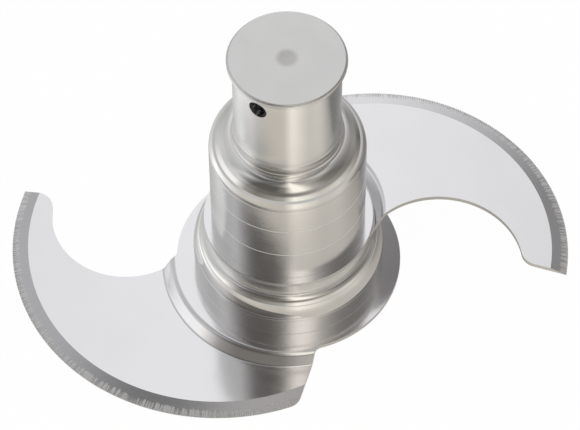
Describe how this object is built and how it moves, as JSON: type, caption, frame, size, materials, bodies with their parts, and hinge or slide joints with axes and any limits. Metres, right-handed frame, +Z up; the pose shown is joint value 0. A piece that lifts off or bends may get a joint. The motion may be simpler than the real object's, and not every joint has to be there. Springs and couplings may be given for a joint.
{
  "type": "food processor blade",
  "caption": "Knife head for a commercial food processor: bevelled, finely serrated sickle blades clamped between turned steel rings under a rimmed cap nut.",
  "frame": {"origin": "centre of the bore in the flat underside of the sleeve's flange, on which the head stands", "axes": "+Z up along the bore axis towards the cap nut, the lower blade reaches towards -X and the upper blade towards +X"},
  "size_m": [0.2344, 0.1386, 0.144],
  "materials": {
    "cap_steel": "fine turned satin stainless steel",
    "ring_steel": "turned stainless steel with polished shoulders",
    "blade_steel": "bright rolled stainless sheet with a ground bevel",
    "sleeve_steel": "turned stainless steel",
    "bush_steel": "hardened steel, ground",
    "seal_rubber": "black moulded rubber"
  },
  "bodies": {
    "root": {"cap_nut": "cap_steel", "pressure_ring": "ring_steel", "plain_spacer_1": "ring_steel", "plain_spacer_2": "ring_steel", "shoulder_spacer": "ring_steel", "upper_blade": "blade_steel", "lower_blade": "blade_steel", "carrier_sleeve": "sleeve_steel", "drive_bush": "bush_steel", "bush_circlip": "bush_steel", "stack_key": "bush_steel", "key_screw_1": "bush_steel", "key_screw_2": "bush_steel", "lower_blade_bottom_seal": "seal_rubber", "lower_blade_top_seal": "seal_rubber", "upper_blade_bottom_seal": "seal_rubber", "upper_blade_top_seal": "seal_rubber", "spacer_seal_1": "seal_rubber", "pressure_ring_seal": "seal_rubber", "cap_seal": "seal_rubber"}
  },
  "joints": []
}
